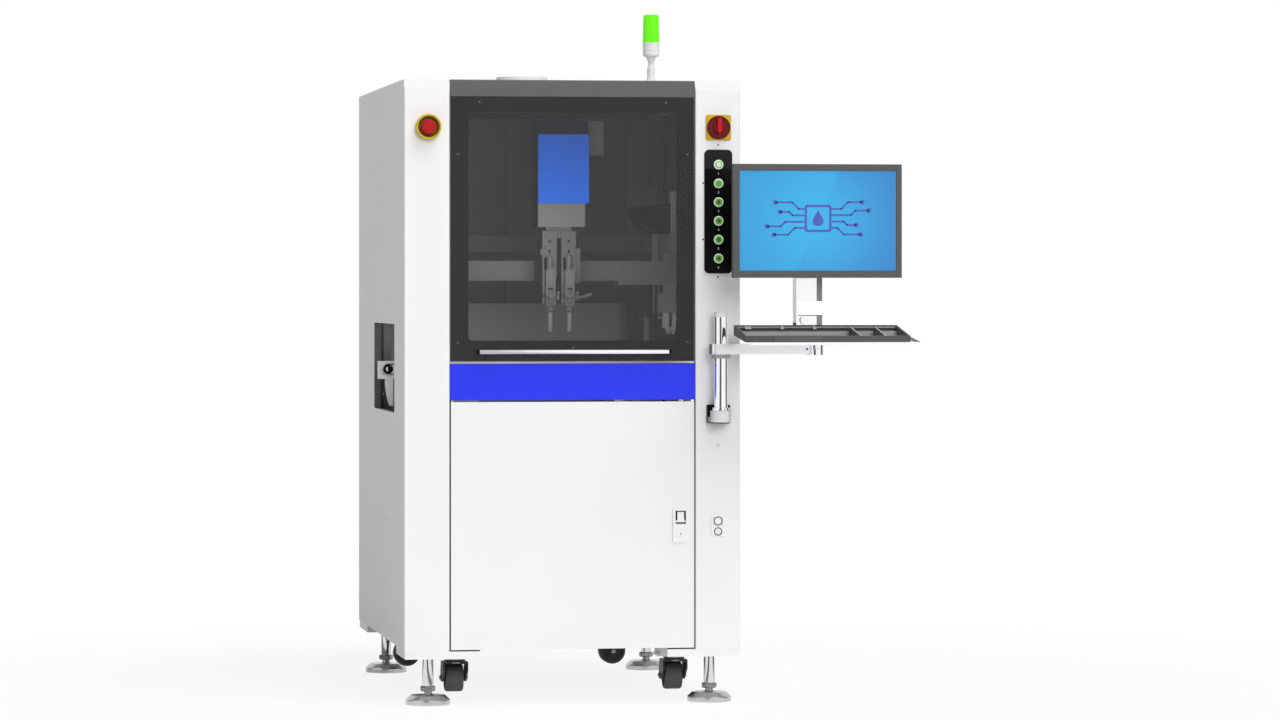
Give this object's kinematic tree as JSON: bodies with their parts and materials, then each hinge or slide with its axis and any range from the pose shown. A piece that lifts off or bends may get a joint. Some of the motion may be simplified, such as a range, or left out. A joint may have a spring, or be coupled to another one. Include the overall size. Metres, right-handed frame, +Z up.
{
  "type": "conformal coating machine",
  "caption": "Floor-standing inline machine that sprays protective coating on circuit boards: lifting tinted hood, gantry head with spray valves, board conveyor, monitor arm.",
  "frame": {"origin": "on the floor, under the middle of the machine's outline box, monitor arm and keyboard tray included", "axes": "+X to the operator's right, +Y from the front to the back, +Z up"},
  "size_m": [1.33, 1.5825, 1.85],
  "materials": {
    "white_paint": "satin",
    "grey_white_paint": "satin",
    "blue_paint": "satin",
    "cover_blue": "satin",
    "dark_grey_paint": "satin",
    "frame_paint": "satin",
    "tinted_acrylic": "clear gloss",
    "bare_aluminium": "satin",
    "stainless": "brushed",
    "chrome_bar": "polished",
    "yellow_plastic": "satin",
    "red_plastic": "gloss",
    "panel_black": "gloss",
    "button_green": "gloss",
    "lens_green": "gloss",
    "grey_plastic": "satin",
    "dark_plastic": "matte",
    "screen_glass": "gloss",
    "wheel_rubber": "matte",
    "black_steel": "satin"
  },
  "bodies": {
    "cabinet": {"frame_posts": "frame_paint", "frame_rails": "frame_paint", "base_pan": "white_paint", "deck_plate": "bare_aluminium", "left_side_panel": "grey_white_paint", "right_side_panel": "grey_white_paint", "rear_panels": "grey_white_paint", "roof_panel": "white_paint", "exhaust_collar": "white_paint", "front_columns": "white_paint", "blue_fascia": "blue_paint", "estop_guard": "yellow_plastic", "switch_plate": "yellow_plastic", "button_panel": "panel_black", "service_sockets": "stainless", "levelling_feet": "stainless", "monitor_post": "chrome_bar", "y_axes": "bare_aluminium", "conveyor_frame": "bare_aluminium", "drip_tray": "stainless", "purge_station": "bare_aluminium", "lamp_pole": "grey_plastic", "lamp_lens": "lens_green", "control_cabinet": "grey_white_paint", "fluid_tanks": "stainless"},
    "hood": {"hood_shell": "dark_grey_paint", "hood_window": "tinted_acrylic", "hood_handle": "chrome_bar"},
    "door": {"lower_door": "white_paint", "latch_housing": "white_paint"},
    "latch": {"latch_paddle": "white_paint"},
    "switch_handle": {"switch_knob": "red_plastic"},
    "estop": {"estop_button": "red_plastic"},
    "collar": {"stop_collar": "chrome_bar"},
    "arm": {"swing_arm": "white_paint"},
    "arm_bracket": {"monitor_bracket": "white_paint", "keyboard_tray": "dark_plastic"},
    "monitor": {"monitor_body": "dark_plastic", "monitor_screen": "screen_glass"},
    "beam": {"gantry_beam": "bare_aluminium"},
    "head": {"head_cover": "cover_blue"},
    "valve_slide": {"z_slide": "bare_aluminium", "spray_valves": "stainless"},
    "sliding_rail": {"rear_rail": "bare_aluminium"},
    "belt_shaft": {"drive_shaft": "stainless"},
    "belt_pulley": {"rear_pulley": "stainless"},
    "button_1": {"push_button_1": "button_green"},
    "button_2": {"push_button_2": "button_green"},
    "button_3": {"push_button_3": "button_green"},
    "button_4": {"push_button_4": "button_green"},
    "button_5": {"push_button_5": "button_green"},
    "button_6": {"push_button_6": "button_green"},
    "fork_front_left": {"caster_fork_front_left": "black_steel"},
    "wheel_front_left": {"caster_wheel_front_left": "wheel_rubber"},
    "fork_front_right": {"caster_fork_front_right": "black_steel"},
    "wheel_front_right": {"caster_wheel_front_right": "wheel_rubber"},
    "fork_rear_left": {"caster_fork_rear_left": "black_steel"},
    "wheel_rear_left": {"caster_wheel_rear_left": "wheel_rubber"},
    "fork_rear_right": {"caster_fork_rear_right": "black_steel"},
    "wheel_rear_right": {"caster_wheel_rear_right": "wheel_rubber"}
  },
  "joints": [
    {"name": "hood_lift", "type": "hinge", "parent": "cabinet", "child": "hood", "pos_m": [-0.215, -0.289, 1.648], "axis": [-1, 0, 0], "range_deg": [0, 80]},
    {"name": "door_swing", "type": "hinge", "parent": "cabinet", "child": "door", "pos_m": [-0.537, -0.485, 0.48], "axis": [0, 0, -1], "range_deg": [0, 110]},
    {"name": "latch_pull", "type": "hinge", "parent": "door", "child": "latch", "pos_m": [0.074, -0.488, 0.4855], "axis": [1, 0, 0], "range_deg": [0, 35], "stiffness_Nm_per_rad": 0.3, "springref_deg": -11.46},
    {"name": "switch_turn", "type": "hinge", "parent": "cabinet", "child": "switch_handle", "pos_m": [0.176, -0.493, 1.535], "axis": [0, 1, 0], "range_deg": [0, 90]},
    {"name": "estop_push", "type": "slide", "parent": "cabinet", "child": "estop", "axis": [0, 1, 0], "range_m": [0, 0.005]},
    {"name": "button_push_1", "type": "slide", "parent": "cabinet", "child": "button_1", "axis": [0, 1, 0], "range_m": [0, 0.003], "stiffness_N_per_m": 600, "springref_m": -0.002},
    {"name": "button_push_2", "type": "slide", "parent": "cabinet", "child": "button_2", "axis": [0, 1, 0], "range_m": [0, 0.003], "stiffness_N_per_m": 600, "springref_m": -0.002},
    {"name": "button_push_3", "type": "slide", "parent": "cabinet", "child": "button_3", "axis": [0, 1, 0], "range_m": [0, 0.003], "stiffness_N_per_m": 600, "springref_m": -0.002},
    {"name": "button_push_4", "type": "slide", "parent": "cabinet", "child": "button_4", "axis": [0, 1, 0], "range_m": [0, 0.003], "stiffness_N_per_m": 600, "springref_m": -0.002},
    {"name": "button_push_5", "type": "slide", "parent": "cabinet", "child": "button_5", "axis": [0, 1, 0], "range_m": [0, 0.003], "stiffness_N_per_m": 600, "springref_m": -0.002},
    {"name": "button_push_6", "type": "slide", "parent": "cabinet", "child": "button_6", "axis": [0, 1, 0], "range_m": [0, 0.003], "stiffness_N_per_m": 600, "springref_m": -0.002},
    {"name": "arm_height", "type": "slide", "parent": "cabinet", "child": "collar", "axis": [0, 0, 1], "range_m": [-0.12, 0.068]},
    {"name": "arm_swing", "type": "hinge", "parent": "collar", "child": "arm", "pos_m": [0.175, -0.539, 0.945], "axis": [0, 0, 1], "range_deg": [-80, 10]},
    {"name": "bracket_swivel", "type": "hinge", "parent": "arm", "child": "arm_bracket", "pos_m": [0.4295, -0.539, 0.96], "axis": [0, 0, 1], "range_deg": [-12, 60]},
    {"name": "monitor_tilt", "type": "hinge", "parent": "arm_bracket", "child": "monitor", "pos_m": [0.4025, -0.639, 1.282], "axis": [-1, 0, 0], "range_deg": [-5, 20]},
    {"name": "beam_y", "type": "slide", "parent": "cabinet", "child": "beam", "axis": [0, 1, 0], "range_m": [-0.17, 0.28]},
    {"name": "head_x", "type": "slide", "parent": "beam", "child": "head", "axis": [1, 0, 0], "range_m": [-0.23, 0.18]},
    {"name": "valve_z", "type": "slide", "parent": "head", "child": "valve_slide", "axis": [0, 0, 1], "range_m": [-0.07, 0]},
    {"name": "rail_width", "type": "slide", "parent": "cabinet", "child": "sliding_rail", "axis": [0, 1, 0], "range_m": [-0.4, 0]},
    {"name": "belt_drive", "type": "hinge", "parent": "cabinet", "child": "belt_shaft", "pos_m": [0.203, 0.151, 0.881], "axis": [0, 1, 0], "continuous": true},
    {"name": "belt_pulley_turn", "type": "hinge", "parent": "sliding_rail", "child": "belt_pulley", "pos_m": [0.203, 0.254, 0.881], "axis": [0, 1, 0], "continuous": true},
    {"name": "swivel_front_left", "type": "hinge", "parent": "cabinet", "child": "fork_front_left", "pos_m": [-0.512, -0.324, 0.11], "axis": [0, 0, 1], "continuous": true},
    {"name": "roll_front_left", "type": "hinge", "parent": "fork_front_left", "child": "wheel_front_left", "pos_m": [-0.512, -0.292, 0.0615], "axis": [1, 0, 0], "continuous": true},
    {"name": "swivel_front_right", "type": "hinge", "parent": "cabinet", "child": "fork_front_right", "pos_m": [0.082, -0.324, 0.11], "axis": [0, 0, 1], "continuous": true},
    {"name": "roll_front_right", "type": "hinge", "parent": "fork_front_right", "child": "wheel_front_right", "pos_m": [0.082, -0.292, 0.0615], "axis": [1, 0, 0], "continuous": true},
    {"name": "swivel_rear_left", "type": "hinge", "parent": "cabinet", "child": "fork_rear_left", "pos_m": [-0.512, 0.626, 0.11], "axis": [0, 0, 1], "continuous": true},
    {"name": "roll_rear_left", "type": "hinge", "parent": "fork_rear_left", "child": "wheel_rear_left", "pos_m": [-0.544, 0.626, 0.0615], "axis": [0, 1, 0], "continuous": true},
    {"name": "swivel_rear_right", "type": "hinge", "parent": "cabinet", "child": "fork_rear_right", "pos_m": [0.082, 0.626, 0.11], "axis": [0, 0, 1], "continuous": true},
    {"name": "roll_rear_right", "type": "hinge", "parent": "fork_rear_right", "child": "wheel_rear_right", "pos_m": [0.05, 0.626, 0.0615], "axis": [0, 1, 0], "continuous": true}
  ],
  "couplings": [
    {"joint": "belt_pulley_turn", "follows": "belt_drive", "ratio": 1}
  ]
}
